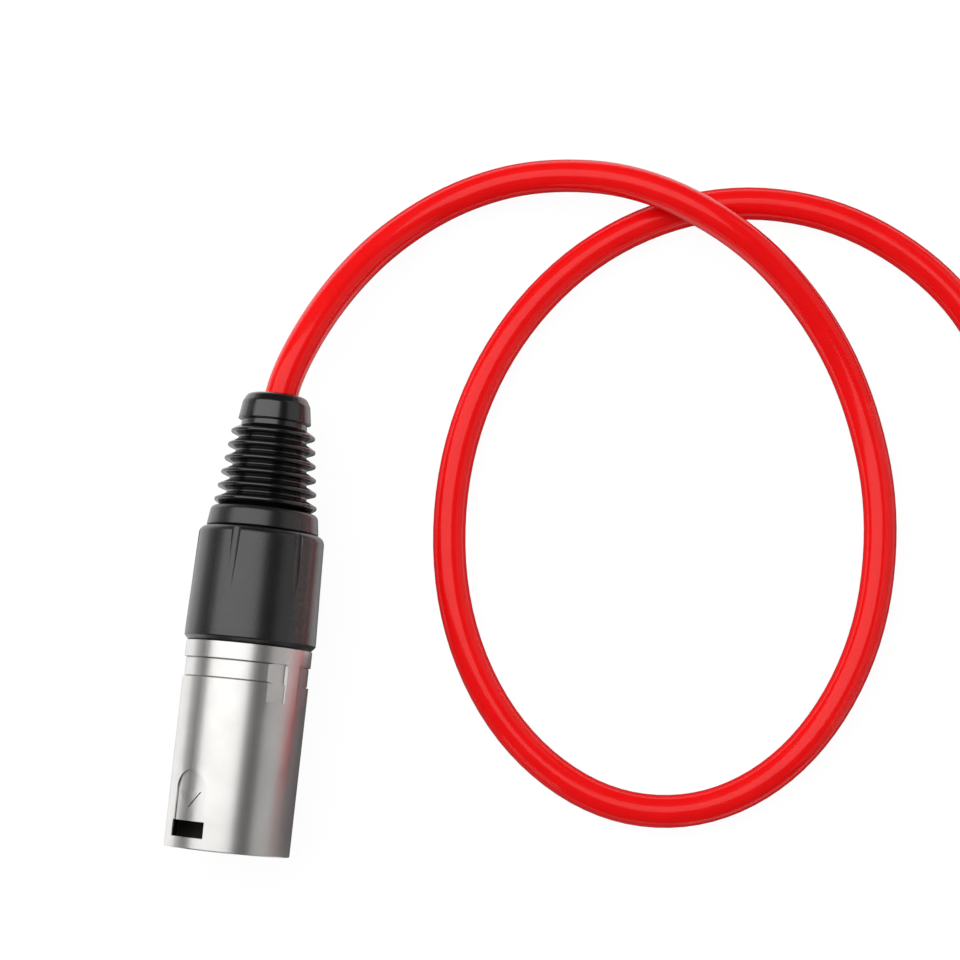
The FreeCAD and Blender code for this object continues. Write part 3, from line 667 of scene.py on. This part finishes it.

# %% Nickel: painted shade on the cut walls of the window
painted_shade_walls = (0.015, 0.015, 0.015)
wall_start = (8.2 * mm, 8.25 * mm)
skin_start = (9.0 * mm, 9.1 * mm)
male_rim_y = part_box("male_shell")[0].y
lip_end = (male_rim_y + 1.0 * mm, male_rim_y + 1.2 * mm)
arch_start = (male_rim_y + 7.0 * mm, male_rim_y + 7.2 * mm)
along_plug = add(tree, "SeparateXYZ", {0: place.outputs["Object"]}).outputs["Y"]
past_lip = mask(tree, along_plug, *lip_end)
before_arch = mask(tree, along_plug, *arch_start, falling=True)
under_skin = mask(tree, from_axis, *skin_start, falling=True)
past_bore = mask(tree, from_axis, *wall_start)
wall_shade_mask = times(tree, times(tree, past_lip, before_arch), times(tree, under_skin, past_bore))
# The window's cut walls get a near-black painted shade in place of the nickel's colour.
darkened(tree, wall_shade_mask, painted_shade_walls)
print("cut walls dark from y", round(lip_end[0], 4), "to", round(arch_start[1], 4))

# %% [markdown]
# ### Contacts, spring and cores
# The contacts are silver plated and smoother than the shells. The spring is plain steel, and
# the shield's bare strands are copper.

# %% Metals inside
finish(
    "silver_contact", (0.66, 0.65, 0.62), (0.76, 0.75, 0.72), roughness=(0.20, 0.30),
    grain=0.0002, relief=0.000003, Metallic=1.0,
)
finish(
    "spring_steel", (0.42, 0.42, 0.43), (0.55, 0.55, 0.56), roughness=(0.22, 0.34),
    grain=0.0001, relief=0.000003, Metallic=1.0,
)
finish(
    "bare_copper", (0.66, 0.34, 0.19), (0.80, 0.45, 0.27), roughness=(0.28, 0.42),
    grain=0.0003, relief=0.00002, Metallic=1.0,
)

# %% [markdown]
# ### Black plastics
# The nut and the coding ring are moulded in a satin plastic with a fine spark-eroded grain.
# The boot is a soft elastomer with a smoother skin, so its ribs carry narrow highlights. All
# three are nearly black, and what is seen of them is reflection: their specular level does
# the work of a colour. The inserts are a plainer, duller black, and the chucks are white.

# %% Plastics
deep_black = (0.002, 0.002, 0.002)
soft_black = (0.004, 0.004, 0.004)
finish(
    "black_nut", deep_black, soft_black, roughness=(0.27, 0.33),
    grain=0.00022, relief=0.000002, Specular_IOR_Level=0.8,
)
finish(
    "black_ring", deep_black, soft_black, roughness=(0.27, 0.33),
    grain=0.00022, relief=0.000002, Specular_IOR_Level=0.75,
)
finish(
    "black_boot", deep_black, soft_black, roughness=(0.18, 0.23),
    grain=0.00025, relief=0.000001, Specular_IOR_Level=0.8,
)
finish(
    "black_insert", (0.009, 0.009, 0.009), (0.014, 0.014, 0.014), roughness=(0.42, 0.52),
    grain=0.0002, relief=0.000006,
)
finish(
    "white_chuck", (0.70, 0.69, 0.64), (0.76, 0.75, 0.71), roughness=(0.38, 0.48),
    grain=0.0003, relief=0.000005,
)

# %% [markdown]
# ### The red jacket
# The jacket is smooth extruded plastic in a saturated red. Its highlights are soft and
# reddish in the photograph, so the specular level is low and its tint warm. The cores inside
# have plain red and white insulation.

# %% Jacket and cores
finish(
    "red_jacket", (0.74, 0.0035, 0.0045), (0.78, 0.0045, 0.0055), roughness=(0.13, 0.17),
    grain=0.005, relief=0.000008, Specular_IOR_Level=0.38, Specular_Tint=(1.0, 0.62, 0.60, 1.0),
)
finish(
    "core_red", (0.50, 0.01, 0.01), (0.56, 0.015, 0.015), roughness=(0.30, 0.40),
    grain=0.0005, relief=0.000004,
)
finish(
    "core_white", (0.74, 0.74, 0.72), (0.80, 0.80, 0.78), roughness=(0.30, 0.40),
    grain=0.0005, relief=0.000004,
)

# %% [markdown]
# ### The strap's tape
# The tape is a dense loop pile between two woven edges. The pile is fine noise in the bump
# and in the colour; the edges are narrow ribs, a wave along the tape, and a mask on X tells
# the two apart. Sheen gives the fibres' pale rim.

# %% Tape: pile in the middle, ribs at the edges
woven_from = (5.0 * mm, 5.15 * mm)
rib_per_radian = 0.09 * mm
pile_size = 0.00018
pile_detail = 5.0
finishes["black_tie"], tree = empty_tree("black_tie_finish")
place = add(tree, "TexCoord")
axes = add(tree, "SeparateXYZ", {0: place.outputs["Object"]})
off_middle = add(tree, "Math", {0: axes.outputs["X"], 1: strap_x * mm}, operation="SUBTRACT")
off_middle = add(tree, "Math", {0: off_middle.outputs[0]}, operation="ABSOLUTE")
woven = mask(tree, off_middle.outputs[0], *woven_from)
along = add(tree, "Math", {0: axes.outputs["Y"], 1: axes.outputs["Z"]}, operation="ADD")
ribs = add(tree, "Math", {0: along.outputs[0], 1: rib_per_radian}, operation="DIVIDE")
ribs = add(tree, "Math", {0: ribs.outputs[0]}, operation="SINE")
ribs = add(tree, "MapRange", {"Value": ribs.outputs[0], "From Min": -1.0})
pile = noise(tree, pile_size, pile_detail)
height = add(tree, "Mix", {"Factor": woven, "A": pile.outputs[0], "B": ribs.outputs[0]})
print("woven edges from", woven_from[0], "m off the tape's middle")

# %% Tape: its shader
pile_height = 0.12 * mm
pile_dark = (0.004, 0.004, 0.005)
pile_light = (0.020, 0.020, 0.022)
bump = add(tree, "Bump", {"Height": height.outputs[0], "Distance": pile_height, "Strength": 0.8})
shader = add(tree, "BsdfPrincipled", {
    "Base Color": mottled(tree, height.outputs[0], pile_dark, pile_light),
    "Roughness": 0.9, "Normal": bump.outputs[0],
    "Sheen Weight": 0.35, "Sheen Roughness": 0.5,
})
add(tree, "OutputMaterial", {"Surface": shader.outputs[0]})
print("black_tie has its finish")

# %% Finishes go into the slots
for node in nodes.values():
    slot_name = node.material_slots[0].material.name.split(".")[0]
    node.material_slots[0].material = finishes[slot_name]
cable.data.materials.append(finishes["red_jacket"])
strap.data.materials.append(finishes["black_tie"])
male_numbers.data.materials.append(finishes["black_insert"])
female_numbers.data.materials.append(finishes["black_insert"])
grip.data.materials.append(finishes["nickel_latch"])
coil_spring.data.materials.append(finishes["spring_steel"])
print(len(finishes), "finishes on", len(nodes), "nodes")

bpy.context.view_layer.update()
